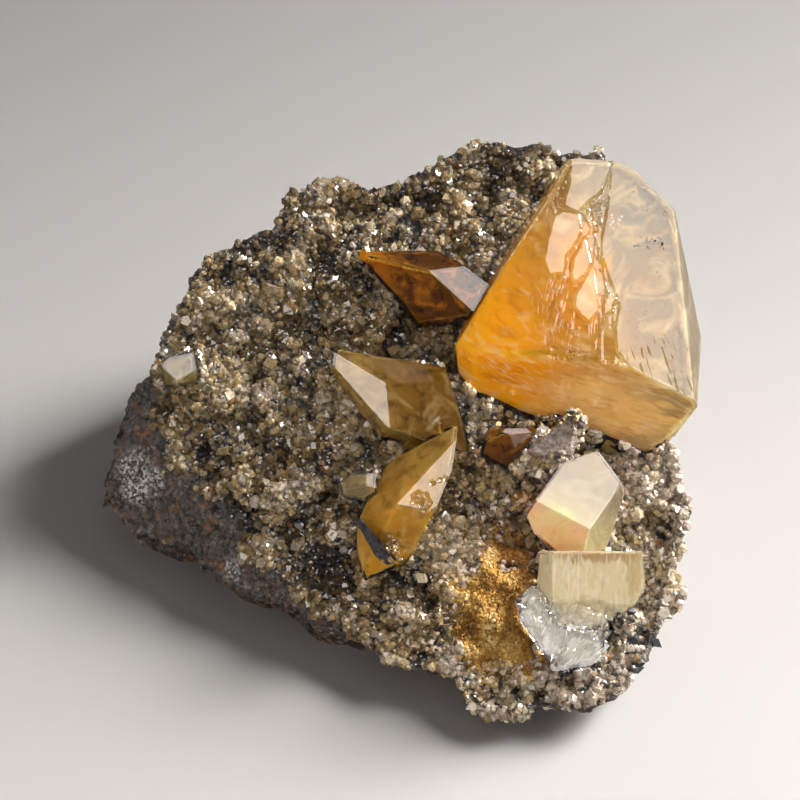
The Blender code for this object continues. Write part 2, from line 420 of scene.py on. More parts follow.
def near(tree, place, middle, radii, uneven):
    """1 in the middle of a spot given in millimetres, 0 outside its uneven edge."""
    away = add(tree, "VectorMath", {0: place, 1: Vector(middle) * MM}, operation="SUBTRACT")
    scaled = add(tree, "VectorMath", {0: away.outputs[0], 1: Vector(radii) * MM},
                 operation="DIVIDE")
    length = add(tree, "VectorMath", {0: scaled.outputs[0]}, operation="LENGTH").outputs["Value"]
    length = add(tree, "Math", {0: uneven, 1: 2.0, 2: length}, operation="MULTIPLY_ADD").outputs[0]
    return add(tree, "MapRange", {"Value": length, "From Min": 2.0, "From Max": 1.55}).outputs[0]


# Weathered ore: near black and metallic under the druse, rough grey and rust on the broken sides.
ore, tree, shader, output = new_material("weathered_sulphide_ore", {"IOR": 1.7})
place = add(tree, "TexCoord").outputs["Object"]
coarse = add(tree, "TexNoise", {
    "Vector": place, "Scale": 1 / (10 * MM), "Detail": 6, "Roughness": 0.6}).outputs[0]
stain = add(tree, "TexNoise", {
    "Vector": place, "Scale": 1 / (3.6 * MM), "Detail": 10, "Roughness": 0.72,
    "Distortion": 1.0}).outputs[0]
fine = add(tree, "TexNoise", {
    "Vector": place, "Scale": 1 / (1.5 * MM), "Detail": 10, "Roughness": 0.72}).outputs[0]
grit = add(tree, "TexNoise", {
    "Vector": place, "Scale": 1 / (0.6 * MM), "Detail": 4, "Roughness": 0.7}).outputs[0]
lean, grain_value = leaning(tree, place, 0.6, 1.1)
coated = add(tree, "Attribute", attribute_name="coat").outputs["Fac"]
hollowed = add(tree, "Attribute", attribute_name="hollow").outputs["Fac"]
stained = add(tree, "Attribute", attribute_name="ochre").outputs["Fac"]

# The broken sides: grey rock, dark crystal faces, rust, pale crystalline patches, the bare spur,
# whose pale grey top is partly its own colour and partly painted light.
DARK_FACES = [((26, -65, 11), (14, 6, 9)), ((58, -55.6, 15.7), (7, 6, 6)),
              ((-69, 4, 23), (5, 5, 6))]
PALE_PATCHES = [((-64.6, -10, 20.6), (9, 9, 8)), ((-52.9, -7.4, 29), (6, 6, 5)),
                ((-39.7, -33.3, 15), (5, 5, 4)), ((50, -60, 16), (6, 5, 6))]
colour = add(tree, "ValToRGB", {"Fac": fine}, [
    (0.34, "#141211"), (0.46, "#3c3733"), (0.56, "#6c645d"), (0.68, "#b4aaa0")]).outputs[0]
rust = add(tree, "ValToRGB", {"Fac": fine}, [
    (0.3, "#3c2210"), (0.5, "#8e5c2c"), (0.7, "#d09a5c")]).outputs[0]
pale = add(tree, "ValToRGB", {"Fac": grain_value}, [
    (0.0, "#2c2926"), (0.35, "#625d58"), (0.6, "#b0a9a2"), (0.9, "#fffcf8")]).outputs[0]
dark_faces = add(tree, "Mix", {0: grain_value, 6: linear("#1d1d22"), 7: linear("#4c4d57")},
                 data_type="RGBA").outputs[2]
# Painted light, in part: the spur's top is made brighter than its own lavender grey.
spur_grey_and_light = add(tree, "ValToRGB", {"Fac": fine}, [
    (0.35, "#6a564a"), (0.5, "#c8b0a0"), (0.65, "#f6ece6")]).outputs[0]
rusted = add(tree, "MapRange", {"Value": stain, "From Min": 0.52, "From Max": 0.6}).outputs[0]
layers = [(near(tree, place, *spot, coarse), dark_faces) for spot in DARK_FACES]
layers.append((rusted, rust))
layers += [(near(tree, place, *spot, coarse), pale) for spot in PALE_PATCHES]
layers.append((near(tree, place, (37, -16.5, 45), (10, 7, 7), coarse), spur_grey_and_light))

# Under the druse: dark ore with a few rusty specks; painted shade turns it black in the hollows.
under_druse = add(tree, "ValToRGB", {"Fac": fine}, [
    (0.3, "#0e0d10"), (0.5, "#242227"), (0.7, "#403e45"), (0.85, "#7a7780")]).outputs[0]
specks = add(tree, "MapRange", {"Value": stain, "From Min": 0.62, "From Max": 0.68}).outputs[0]
hollow_shade = add(tree, "MapRange", {
    "Value": hollowed, "From Min": 0.3, "From Max": 0.9, "To Max": 0.85}).outputs[0]
for share, layer in ((specks, rust), (hollow_shade, linear("#060506"))):
    under_druse = add(tree, "Mix", {0: share, 6: under_druse, 7: layer},
                      data_type="RGBA").outputs[2]
ochre_colour = add(tree, "ValToRGB", {"Fac": stain}, [
    (0.36, "#3e2612"), (0.47, "#a46a28"), (0.55, "#dca44c"), (0.68, "#f8d894")]).outputs[0]
layers += [(coated, under_druse), (stained, ochre_colour)]
for share, layer in layers:
    colour = add(tree, "Mix", {0: share, 6: colour, 7: layer}, data_type="RGBA").outputs[2]
tree.links.new(colour, shader.inputs["Base Color"])

# Rust and ochre are dull, clean ore shines; grit and fine bumps break the shine up.
weathered = add(tree, "MapRange", {"Value": stain, "From Min": 0.5, "From Max": 0.6}).outputs[0]
rusty = add(tree, "Math", {0: weathered, 1: stained}, operation="MAXIMUM").outputs[0]
dull = add(tree, "MapRange", {"Value": rusty, "To Min": 0.26}).outputs[0]
tree.links.new(dull, shader.inputs["Roughness"])
rough = add(tree, "Bump", {"Height": fine, "Strength": 0.8, "Distance": 1.0 * MM, "Normal": lean})
gritty = add(tree, "Bump", {"Height": grit, "Strength": 0.7, "Distance": 0.4 * MM,
                            "Normal": rough.outputs[0]})
tree.links.new(gritty.outputs[0], shader.inputs["Normal"])
print("layers of the rock's colour:", len(layers))

rock = add_piece("host_rock", bm, ore, ["matrix"])

# %% [markdown]
# ## Druse
#
# The druse is thousands of tiny glassy crystals. A bump could only draw them, but real crystals
# cast shadows and stand out at the edge, so each is a small shape of its own. The shapes are made
# once: a six-sided and a five-sided crystal with blunt points, a rhomb and two worn beads. A seeded
# random generator turns and scales their copies.

# %% Grain shapes
rng = np.random.default_rng(11)


def grain_shape(kind):
    """Points and triangles of a grain about 2 units across, with its long axis along Z."""
    bm = bmesh.new()
    if kind == "bead":
        bmesh.ops.create_icosphere(bm, subdivisions=1, radius=1.0)
        for vert in bm.verts:
            vert.co *= 0.8 + 0.4 * rng.random()
    elif kind == "rhomb":
        bmesh.ops.create_cube(bm, size=1.5)
        bmesh.ops.rotate(bm, verts=bm.verts, matrix=Matrix.Rotation(math.pi / 4, 3, "X"))
        bmesh.ops.rotate(bm, verts=bm.verts, matrix=Matrix.Rotation(0.62, 3, "Y"))
        bmesh.ops.scale(bm, verts=bm.verts, vec=(0.9, 0.9, 1.25))
    else:
        sides = 6 if kind == "hexagon" else 5
        bmesh.ops.create_cone(bm, cap_ends=True, segments=sides, radius1=0.9, radius2=0.75,
                              depth=1.3)
        top = [f for f in bm.faces if f.normal.z > 0.9]
        bmesh.ops.inset_region(bm, faces=top, thickness=0.38, depth=0.45)
    bmesh.ops.triangulate(bm, faces=bm.faces)
    bmesh.ops.recalc_face_normals(bm, faces=bm.faces)
    mesh = as_mesh("grain_" + kind, bm)
    points = np.array([v.co for v in mesh.vertices])
    faces = np.array([f.vertices for f in mesh.polygons])
    bpy.data.meshes.remove(mesh)
    return points, faces


SHAPES = [grain_shape(kind) for kind in ("bead", "rhomb", "hexagon", "wedge", "bead")]
print("faces of the grain shapes:", [len(faces) for points, faces in SHAPES])

# %% [markdown]
# ### Scattering
#
# A particle system would leave its choices to Blender. Here points are drawn over the rock's
# triangles by area and weight, thinned to a spacing and kept out of the crystals. The copies are
# joined into a few large meshes, and each grain keeps a tint.

# %% Scatter


def scatter(mesh, count, weight, spacing):
    """Seeded points over a mesh by area times weight, kept apart by a spacing in millimetres."""
    mesh.calc_loop_triangles()
    points = np.array([v.co for v in mesh.vertices])
    tris = np.array([t.vertices for t in mesh.loop_triangles])
    a, b, c = (points[tris[:, i]] for i in range(3))
    cross = np.cross(b - a, c - a)
    area = np.linalg.norm(cross, axis=1)
    normals = cross / np.maximum(area, 1e-15)[:, None]
    share = area * weight[tris].mean(axis=1)
    picked = rng.choice(len(tris), size=count, p=share / share.sum())
    u, v = rng.random((2, count))
    flip = u + v > 1
    u[flip], v[flip] = 1 - u[flip], 1 - v[flip]
    spots = a[picked] + (b - a)[picked] * u[:, None] + (c - a)[picked] * v[:, None]
    taken = set()
    kept = []
    for index, spot in enumerate(np.floor(spots / (spacing * MM)).astype(int)):
        cell = tuple(spot)
        if cell not in taken:
            taken.add(cell)
            kept.append(index)
    kept = [i for i in kept if crystal_gap(Vector(spots[i]), 3 * MM) > 0.3 * MM]
    return spots[kept], normals[picked[kept]], tris[picked[kept], 0]


def turned(normals, tilt):
    """Rotation matrices whose z axes follow the normals, tilted and spun at random."""
    count = len(normals)
    lean = normals + tilt * rng.normal(size=(count, 3))
    z = lean / np.linalg.norm(lean, axis=1)[:, None]
    other = rng.normal(size=(count, 3))
    x = np.cross(other, z)
    x /= np.linalg.norm(x, axis=1)[:, None]
    return np.stack([x, np.cross(z, x), z], axis=2)


def joined_grains(name, spots, normals, sizes, tilt, sink, material, tints, form=(1, 1, 1)):
    """Grains at the spots in one mesh, each with a tint. They sink by a share of their size, and
    the form stretches each along its own axes."""
    turns = turned(normals, tilt)
    all_points, all_faces, all_tints = [], [], []
    start = 0
    kinds = rng.integers(0, len(SHAPES), len(spots))
    for kind, (points, faces) in enumerate(SHAPES):
        chosen = np.where(kinds == kind)[0]
        stretch = rng.uniform(0.8, 1.25, (len(chosen), 1, 3)) * sizes[chosen][:, None, None]
        local = points[None] * stretch * np.array(form)
        placed = np.einsum("nij,nkj->nki", turns[chosen], local)
        placed += (spots[chosen] - normals[chosen] * sizes[chosen][:, None] * sink)[:, None]
        placed[..., 2] = np.maximum(placed[..., 2], 0.0)  # no grain reaches below the rest plane
        offsets = start + np.arange(len(chosen)) * len(points)
        all_points.append(placed.reshape(-1, 3))
        all_faces.append((faces[None] + offsets[:, None, None]).reshape(-1, 3))
        all_tints.append(np.repeat(tints[chosen], len(points)))
        start += len(chosen) * len(points)
    mesh = bpy.data.meshes.new(name)
    mesh.from_pydata(np.concatenate(all_points), [], np.concatenate(all_faces))
    tint = mesh.attributes.new("tint", "FLOAT", "POINT")
    tint.data.foreach_set("value", np.concatenate(all_tints).astype(np.float32))
    return add_mesh(name, mesh, material)


# %% [markdown]
# ### Four kinds of grain
#
# Most grains are glassy and pale yellowish, some greyer and a few rusty. Towards the right more of
# them are milky and paler, partly as painted light, which also brightens the spur's shadow. Dark
# grains of sulphide sit between them, and the ochre spot has a fine dull crust. Glassy and milky
# grains stand closest on the lumps and leave seams and hollows dark, deepened by painted shade.

# %% Druse finish


def druse_finish(name, transmission):
    """Small clear crystals with a little fog inside."""
    made, tree, shader, output = new_material(name, {
        "Roughness": 0.06, "IOR": 1.6, "Transmission Weight": transmission})
    place = add(tree, "TexCoord").outputs["Object"]
    fog = add(tree, "TexNoise", {
        "Vector": place, "Scale": 1 / (1.2 * MM), "Detail": 4}).outputs[0]
    tint = add(tree, "Attribute", attribute_name="tint").outputs["Fac"]
    colour = add(tree, "ValToRGB", {"Fac": tint}, [
        (0.0, "#867354"), (0.3, "#dfc28e"), (0.55, "#fae3b2"), (0.85, "#fff6e6"),
        (1.0, "#b07a40")]).outputs[0]
    foggy = add(tree, "MapRange", {
        "Value": fog, "From Min": 0.35, "From Max": 0.6, "To Min": 0.4, "To Max": 0.0}).outputs[0]
    colour = add(tree, "Mix", {0: foggy, 6: colour, 7: linear("#4a4234")},
                 data_type="RGBA").outputs[2]
    tree.links.new(colour, shader.inputs["Base Color"])
    return made


def grain_finish(name, stops, inputs):
    """Grains whose colour follows their tint alone."""
    made, tree, shader, output = new_material(name, inputs)
    tint = add(tree, "Attribute", attribute_name="tint").outputs["Fac"]
    colour = add(tree, "ValToRGB", {"Fac": tint}, stops).outputs[0]
    tree.links.new(colour, shader.inputs["Base Color"])
    return made


# Glassy grains sparkle and let the dark ore show through; milky ones are bright and closed.
glassy = druse_finish("glassy_druse", 0.68)
milky = druse_finish("milky_druse", 0.2)
# Sulphide grains are dark mirrors: mostly black, now and then a flash; a few are rusty.
sulphide = grain_finish("dark_sulphide", [
    (0.0, "#111012"), (0.5, "#2a282e"), (0.8, "#54515a"), (1.0, "#8d5b2c")],
    {"Roughness": 0.32, "IOR": 1.9})
# Ochre crust is warm, earthy and without gloss.
ochre_crust = grain_finish("yellow_iron_ochre", [
    (0.0, "#5a3a16"), (0.4, "#a87c38"), (0.75, "#dab668"), (1.0, "#f6e2ac")],
    {"Roughness": 0.9, "Specular IOR Level": 0.1})

# %% Druse
CORNER = spot_at((54, -57, 15), (13, 11, 9))
GRAINS_IN_A_MESH = 8500


def read_values(mesh, name):
    """A value of every vertex as an array."""
    values = np.zeros(len(mesh.vertices))
    mesh.attributes[name].data.foreach_get("value", values)
    return values


def grow(name, count, weight, spacing, radii, big_share, material, tint_of, tilt=0.55):
    """Scatter grains over the rock in a few meshes, with radii in millimetres."""
    low, high = radii
    spots, normals, verts = scatter(rock.data, count, weight, spacing)
    region = np.clip([0.5 + 0.6 * bumps(Vector(p), 13, 4) for p in spots], 0.3, 1)
    sizes = (low + (high - low) * rng.random(len(spots)) ** 1.6 * region * 1.3) * MM
    sizes[rng.random(len(spots)) < big_share] *= 1.5
    tints = tint_of(spots, verts)
    print(name, "grains:", len(spots))
    parts = np.array_split(rng.permutation(len(spots)), math.ceil(len(spots) / GRAINS_IN_A_MESH))
    for number, part in enumerate(parts):
        joined_grains(f"{name}_{number}", spots[part], normals[part], sizes[part], tilt, 0.2,
                      material, tints[part])


def toward_right(spots):
    """0 at the druse face's left, 1 at its right, 0.7 beside the spur: paler, partly painted light.
    """
    x, y = spots[:, 0] / MM, spots[:, 1] / MM
    # Painted light: beside the spur the grains are paler, which brightens the spur's cast shadow.
    pale_and_lit_by_spur = np.exp(-((x - 20) ** 2 + (y + 26) ** 2) / (2 * 6.0 ** 2))
    return np.clip((1.3 * x - 0.5 * y) / 60 - 0.25 + 0.7 * pale_and_lit_by_spur, 0, 1)


def glassy_tint(spots, verts):
    """Pale and grey patches, rusty grains (1.0), painted shade in hollows, partly painted light at
    right.
    """
    tone = np.array([0.6 + 0.5 * bumps(Vector(p), 11, 7) for p in spots]) - 0.4 * hollows[verts]
    tone += 0.5 * toward_right(spots)
    tints = np.clip(tone + rng.normal(0, 0.2, len(spots)), 0, 0.9)
    tints[rng.random(len(spots)) < 0.012] = 1.0
    return tints


def dark_tint(spots, verts):
    """Grey grains, painted black in the hollows as shade, and a few rusty ones (1.0)."""
    tints = rng.random(len(spots)) * 0.9 * (1 - 0.95 * hollows[verts])
    tints[rng.random(len(spots)) < 0.06] = 1.0
    return tints


def ochre_tint(spots, verts):
    """Cloudy patches with a finer mottle."""
    return np.clip([0.5 + 0.7 * bumps(Vector(p), 5, 8) + 0.3 * bumps(Vector(p), 1, 9)
                    for p in spots], 0, 1)


coats, hollows, ochres = (read_values(rock.data, name) for name in ("coat", "hollow", "ochre"))
places = [v.co for v in rock.data.vertices]
clumps = np.array([clump(p) for p in places])
corner = np.array([inside_spot(p, CORNER) for p in places])
right = toward_right(np.array(places))
# Fewer glassy and more dark grains in the hollows: painted shade, in part. Towards the right more
# milky and fewer dark grains: painted light, in part.
glass_share = coats ** 2 * (1 - 0.9 * hollows) * (0.12 + 0.88 * clumps) * (1 - 0.8 * corner) + 1e-6
milky_share = glass_share * (0.1 + 2.4 * right)
dark_share = coats ** 2 * (1.05 - clumps + 0.7 * corner + hollows) * (1 - 0.6 * right) + 1e-6
grow("druse", 60000, glass_share, 1.3, (0.75, 1.5), 0.05, glassy, glassy_tint)
grow("milky_druse", 14000, milky_share, 1.5, (0.75, 1.45), 0.05, milky, glassy_tint)
grow("ochre", 14000, ochres + 1e-7, 0.7, (0.28, 0.75), 0.02, ochre_crust, ochre_tint)
grow("sulphide", 26000, dark_share, 1.1, (0.45, 0.9), 0.03, sulphide, dark_tint,
     tilt=0.9)
grow("coarse_sulphide", 190, corner * coats + 1e-7, 2.6, (0.9, 1.9), 0.05, sulphide,
     dark_tint, tilt=0.9)

# %% [markdown]
# ## Clear calcite
#
# Calcite is a clear, strongly refracting carbonate, coloured by traces through its whole depth. So
# the colour is an absorption in the volume and the surface has none. The crystals are not empty
# glass: fine fluid inclusions make clouds and veils. A cloudy heart inside the clear skin carries
# them, and light soaks through it. A scattering volume would take many times longer and stay noisy.

# %% Clear crystals


def clear_calcite(name, colour, density, roughness=0.02, wave=0.08):
    """Clear skin: sharp reflections with a slight wave, and a tint that deepens with thickness."""
    made, tree, shader, output = new_material(name, {
        "Base Color": linear("#ffffff"), "Roughness": roughness, "IOR": 1.65,
        "Transmission Weight": 1.0})
    place = add(tree, "TexCoord").outputs["Object"]
    etch = add(tree, "TexNoise", {"Vector": place, "Scale": 1 / (6 * MM), "Detail": 4}).outputs[0]
    bump = add(tree, "Bump", {"Height": etch, "Strength": wave, "Distance": 0.15 * MM})
    tree.links.new(bump.outputs[0], shader.inputs["Normal"])
    volume = add(tree, "VolumeAbsorption", {"Color": linear(colour), "Density": density})
    tree.links.new(volume.outputs[0], output.inputs["Volume"])
    return made


def cloudy(name, colours, along, veil, dark, soak, spots=(), stretch=(1, 1, 1), size=7.0,
           reach=(1.0, 0.9, 0.7)):
    """Milky depth: two colours along a line in millimetres, under pale veils, dark clouds of a size
    and spots of (middle, radii, colour, share). Light soaks in by some millimetres, with a reach
    of its own for red, green and blue."""
    made, tree, shader, output = new_material(name, {
        "Subsurface Weight": 1.0, "Subsurface Radius": reach, "Subsurface Scale": soak * MM,
        "Specular IOR Level": 0.0, "Roughness": 1.0})
    place = add(tree, "TexCoord").outputs["Object"]
    start, end = (Vector(p) * MM for p in along)
    line = end - start
    run = add(tree, "VectorMath", {0: place, 1: line / line.length_squared},
              operation="DOT_PRODUCT").outputs["Value"]
    offset = start.dot(line) / line.length_squared
    run = add(tree, "MapRange", {
        "Value": run, "From Min": offset, "From Max": offset + 1}).outputs[0]
    drawn = add(tree, "Mapping", {"Vector": place, "Scale": stretch}).outputs[0]
    clouds = add(tree, "TexNoise", {
        "Vector": drawn, "Scale": 1 / (size * MM), "Detail": 6, "Distortion": 1.2}).outputs[0]
    shades = add(tree, "TexNoise", {
        "Vector": drawn, "Scale": 1 / (size * 0.6 * MM), "Detail": 6,
        "Distortion": 0.6}).outputs[0]
    layers = [(run, colours[1])]
    for middle, radii, code, share in spots:
        inside = near(tree, place, middle, radii, clouds)
        inside = add(tree, "Math", {0: inside, 1: share}, operation="MULTIPLY").outputs[0]
        layers.append((inside, code))
    for pattern, low, high, (code, share) in ((clouds, 0.5, 0.7, veil), (shades, 0.52, 0.68, dark)):
        inside = add(tree, "MapRange", {
            "Value": pattern, "From Min": low, "From Max": high, "To Max": share}).outputs[0]
        layers.append((inside, code))
    colour = linear(colours[0])
    for share, code in layers:
        colour = add(tree, "Mix", {0: share, 6: colour, 7: linear(code)},
                     data_type="RGBA").outputs[2]
    tree.links.new(colour, shader.inputs["Base Color"])
    return made


def whole_faces(node):
    """A CAD crystal with its flat faces whole again."""
    bm = merged_copy(node)
    bmesh.ops.dissolve_limit(bm, angle_limit=math.radians(0.5), verts=bm.verts, edges=bm.edges)
    return bm


def refine(bm, cell, chosen=None):
    """Triangles whose edges, all or the chosen ones, are no longer than a cell in millimetres."""
    bmesh.ops.triangulate(bm, faces=bm.faces)
    for turn in range(9):
        long = [e for e in bm.edges
                if e.calc_length() > cell * MM and (chosen is None or chosen(e))]
        if not long:
            break
        bmesh.ops.subdivide_edges(bm, edges=long, cuts=1)
        bmesh.ops.triangulate(bm, faces=bm.faces)
    bm.normal_update()


def smoothed(bm, verts, factor, rounds=1):
    """Round a part of a mesh off."""
    for turn in range(rounds):
        bmesh.ops.smooth_vert(bm, verts=verts, factor=factor, use_axis_x=True, use_axis_y=True,
                              use_axis_z=True)
    bm.normal_update()


def shell(node):
    """A CAD crystal with its edges very slightly rounded, as no real edge is perfectly sharp."""
    bm = whole_faces(node)
    sharp = [e for e in bm.edges if e.is_manifold and e.calc_face_angle() > math.radians(3)]
    bmesh.ops.bevel(bm, geom=sharp, offset=0.06 * MM, offset_type="OFFSET", affect="EDGES",
                    segments=2, profile=0.5, material=-1, clamp_overlap=True)
    bmesh.ops.triangulate(bm, faces=bm.faces)
    return bm


def heart(node, depth, rough, cell=1.0, rounds=1, extra=None, smooth=True):
    """A cloudy heart: the crystal's own shape, softened, drawn in and made uneven."""
    bm = whole_faces(node)
    refine(bm, cell)
    smoothed(bm, bm.verts, 0.5, rounds)
    moves = []
    for vert in bm.verts:
        uneven = rough * (0.5 + 0.5 * bumps(vert.co, 7, 4) + 0.3 * bumps(vert.co, 2.5, 8))
        deeper = extra(vert) if extra else 0.0
        moves.append(vert.normal * -(depth + uneven + deeper) * MM)
    displace(bm.verts, moves)
    for face in bm.faces:
        face.smooth = smooth
    return bm


LOOKS = {  # slot, colour and density of the absorption
    "calcite_great": ("golden_calcite", "#fbe2a4", 60),
    "calcite_amber": ("amber_calcite", "#e8b868", 110),
    "calcite_honey": ("honey_calcite", "#f0e0b0", 90),
    "calcite_double": ("honey_calcite", "#f4d898", 90),
    "calcite_foot": ("amber_calcite", "#e0a860", 130),
    "calcite_cream": ("cream_calcite", "#fdf3cf", 40),
    "calcite_cleaved": ("clear_calcite", "#f3eed2", 40),
    "calcite_edge": ("honey_calcite", "#f2dfa0", 90),
    "calcite_pale": ("cream_calcite", "#f6ecc8", 60),
}

# %% [markdown]
# ### The largest crystal
#
# Its two upper faces were etched: flat plateaus of the old face stand proud of golden grooves, and
# only the plateaus mirror the card overhead. A bump would tilt only the light, so the faces
# themselves are sunk between the plateaus, whose outlines are given from above in millimetres.

# %% Relief of the largest crystal
PLATEAUS = [
    [(43, 47), (51.4, 47), (52.6, 42.6), (49.9, 36), (47.6, 33.8), (43.9, 30.7),
     (40.6, 33.1), (42.2, 37.9)],
    [(40.6, 31.7), (44.1, 30.2), (44.5, 25.8), (42.7, 22.8), (40.8, 21), (40.2, 16.9),
     (36.9, 17.1), (35.8, 20.7), (36.6, 24.8), (38.4, 30.9)],
    [(45.4, 24.1), (46.6, 17.7), (44.9, 15.4), (42.8, 14.4), (42.1, 16.5), (42.7, 19.7),
     (44.1, 22)],
    [(47, 16.9), (47.8, 10.6), (47.9, 6.1), (45.8, 4.4), (44.2, 5.9), (42.6, 8.8),
     (43.2, 11.5), (44.9, 13.8)],
    [(50.6, 10), (52.7, 9), (51.1, 5.7), (49.5, 5.3), (49.3, 7.4)],
    [(53.4, 47), (58, 48), (65, 45), (74, 38), (77, 22), (75, -4.8),
     (75, -16), (62.3, -10.5), (55.9, -8), (52.2, -4.1), (51.9, -0.3), (53.6, 7.4),
     (53.2, 9.1), (51.2, 14.6), (49.7, 19.7), (49.9, 24.3), (51.4, 30.8), (52.1, 35.4)],
]
WINDOWS = [Vector((0.216, -0.286, 0.934)), Vector((-0.273, -0.363, 0.891))]
LEFT = Vector((-0.47, -0.329, 0.819))
FRONT = Vector((-0.342, -0.939, 0.035))


def inside_outline(x, y, outline):
    """Distance in millimetres from an outline, positive inside it."""
    nearest, inside = 1e9, False
    for (x0, y0), (x1, y1) in zip(outline, outline[1:] + outline[:1]):
        dx, dy = x1 - x0, y1 - y0
        along = min(max(((x - x0) * dx + (y - y0) * dy) / (dx * dx + dy * dy), 0), 1)
        nearest = min(nearest, math.hypot(x - x0 - along * dx, y - y0 - along * dy))
        if (y0 > y) != (y1 > y) and x < x0 + (y - y0) * dx / dy:
            inside = not inside
    return nearest if inside else -nearest


def fanned(x, y):
    """Coordinates for striae that fan out from the crystal's upper end."""
    across, along = x - 49, y - 38
    return Vector((math.atan2(across, -along) * 100, math.hypot(across, along) * 0.35, 0)) * MM


def faces_like(normal, directions):
    """Whether a normal is one of some directions."""
    return any(normal.dot(d) > 0.998 for d in directions)


def edges_between(bm, first, second):
    """Ends of the edges in which faces of two directions meet."""
    return [[v.co.copy() for v in e.verts] for e in bm.edges
            if any(faces_like(f.normal, [first]) for f in e.link_faces)
            and any(faces_like(f.normal, [second]) for f in e.link_faces)]


def from_edges(point, edges):
    """Distance in metres from the nearest of some edges."""
    return min((point - intersect_point_line(point, a, b)[0]).length for a, b in edges)


def sunk(point):
    """Depth of the relief in millimetres: steep plateaus and grooves that slope away from them."""
    x, y = point.x / MM, point.y / MM
    inside = max(inside_outline(x, y, outline) for outline in PLATEAUS)
    low = 1 - step(-0.5, 0.15, inside)
    striae = bumps(fanned(x, y), 3.0, 23)
    fine = bumps(fanned(x, y), 1.3, 24)
    groove = 0.5 + 0.2 * min(max(-inside, 0), 9) + 0.3 * striae + 0.25 * abs(bumps(point, 3.3, 22))
    return low * groove + (1 - low) * step(8, -6, y) * max(fine + 0.4 * striae, 0) * 0.1


def relief(point, normal):
    """The relief of the windows, which fades out over the left face from the ridge."""
    nearest = max(WINDOWS + [LEFT], key=normal.dot)
    if normal.dot(nearest) < 0.8:
        return 0.0
    if nearest != LEFT:
        return sunk(point)
    share = min(max(intersect_point_line(point, *ridge)[1], 0.0), 1.0)
    spot = ridge[0].lerp(ridge[1], share)
    return sunk(spot) * step(18, 0, (point - spot).length / MM)


def drawn_down(point):
    """How the front face's upper part follows the sunken faces above it, within its own plane."""
    spots = []
    for a, b, upper in front_edges:
        share = min(max(intersect_point_line(point, a, b)[1], 0.0), 1.0)
        spot = a.lerp(b, share)
        spots.append(((point - spot).length, spot, upper))
    away, spot, upper = min(spots, key=lambda entry: entry[0])
    down = (FRONT * upper.dot(FRONT) - upper).normalized()
    return down * relief(spot, upper) * step(9, 0, away / MM) * MM


bm = whole_faces("calcite_great")
worn_edges = edges_between(bm, FRONT, LEFT)
ridge, = edges_between(bm, LEFT, WINDOWS[1])
front_edges = [(a, b, upper) for upper in WINDOWS + [LEFT]
               for a, b in edges_between(bm, FRONT, upper)]
refine(bm, 0.9)
refine(bm, 0.42, lambda e: all(faces_like(f.normal, WINDOWS) for f in e.link_faces))
for edge in bm.edges:
    if edge.is_manifold and edge.calc_face_angle() > math.radians(8):
        edge.smooth = False
moves = {}
for vert in bm.verts:
    if not all(faces_like(f.normal, WINDOWS + [LEFT, FRONT]) for f in vert.link_faces):
        continue
    if any(faces_like(f.normal, [FRONT]) for f in vert.link_faces):
        moves[vert] = drawn_down(vert.co)
    else:
        moves[vert] = vert.normal * -relief(vert.co, vert.link_faces[0].normal) * MM
displace(moves.keys(), moves.values())
worn = [v for v in bm.verts if from_edges(v.co, worn_edges) < 2.2 * MM]
smoothed(bm, worn, 0.5, 6)
displace(worn, [v.normal * -MM * (0.2 + 0.2 * bumps(v.co, 2.2, 24) + 0.12 * bumps(v.co, 0.9, 25))
                for v in worn])
for vert in worn:
    for edge in vert.link_edges:
        edge.smooth = True
for face in bm.faces:
    face.smooth = True


def add_skin(node, bm, **finish):
    """The clear skin that stands in for a CAD crystal."""
    slot, colour, density = LOOKS[node]
    add_piece(node + "_clear", bm, clear_calcite(node, colour, density, **finish), [node])


add_skin("calcite_great", bm)

# %% [markdown]
# ### The other skins
#
# The other crystals keep their flat CAD faces, and two are frosted. Towards its root the cleaved
# block breaks up into chips and steps, and the doubly terminated crystal has a few broken pits.

# %% Other clear skins


def chip(point, size, seed):
    """Height in millimetres of broken surfaces, each with a lean of its own."""
    spot = point / (size * MM) + Vector((seed, seed, seed))
    middle = noise.voronoi(spot)[1][0]
    lean = noise.noise_vector(middle * 3.1)
    return size * (0.35 * lean.x + 0.8 * (spot - middle).dot(lean))


def fractured(bm, depth):
    """Break the root of the cleaved block below its ledge into chips and steps."""
    refine(bm, 0.8)
    bmesh.ops.remove_doubles(bm, verts=bm.verts, dist=0.25 * MM)
    bm.normal_update()
    broken = []
    for vert in bm.verts:
        x, y, z = (value / MM for value in vert.co)
        below = step(31.0, 29.5, z + 0.25 * (y + 53) + 0.6 * max(x - 48, 0))
        chips = 1.0 + chip(vert.co, 3.2, 41) + 0.6 * chip(vert.co, 1.5, 42)
        if any(e.calc_face_angle(0) > math.radians(30) for e in vert.link_edges):
            chips *= 0.3
        vert.co -= vert.normal * below * (depth + max(chips, 0)) * MM
        if below > 0.3:
            broken.append(vert)
    smoothed(bm, broken, 0.3)
    return bm


def pitted(bm, pits):
    """Press small broken pits of (middle, radius, depth) in millimetres into a skin."""
    refine(bm, 0.5)
    moves = {}
    for vert in bm.verts:
        for middle, radius, depth in pits:
            away = (vert.co - Vector(middle) * MM).length / (radius * MM)
            away += 0.5 * bumps(vert.co, 1.6, 51)
            if away < 1:
                uneven = 0.7 + 0.6 * bumps(vert.co, 0.8, 52)
                moves[vert] = -vert.normal * depth * MM * (1 - away) ** 0.5 * uneven
    displace(moves.keys(), moves.values())
    return bm


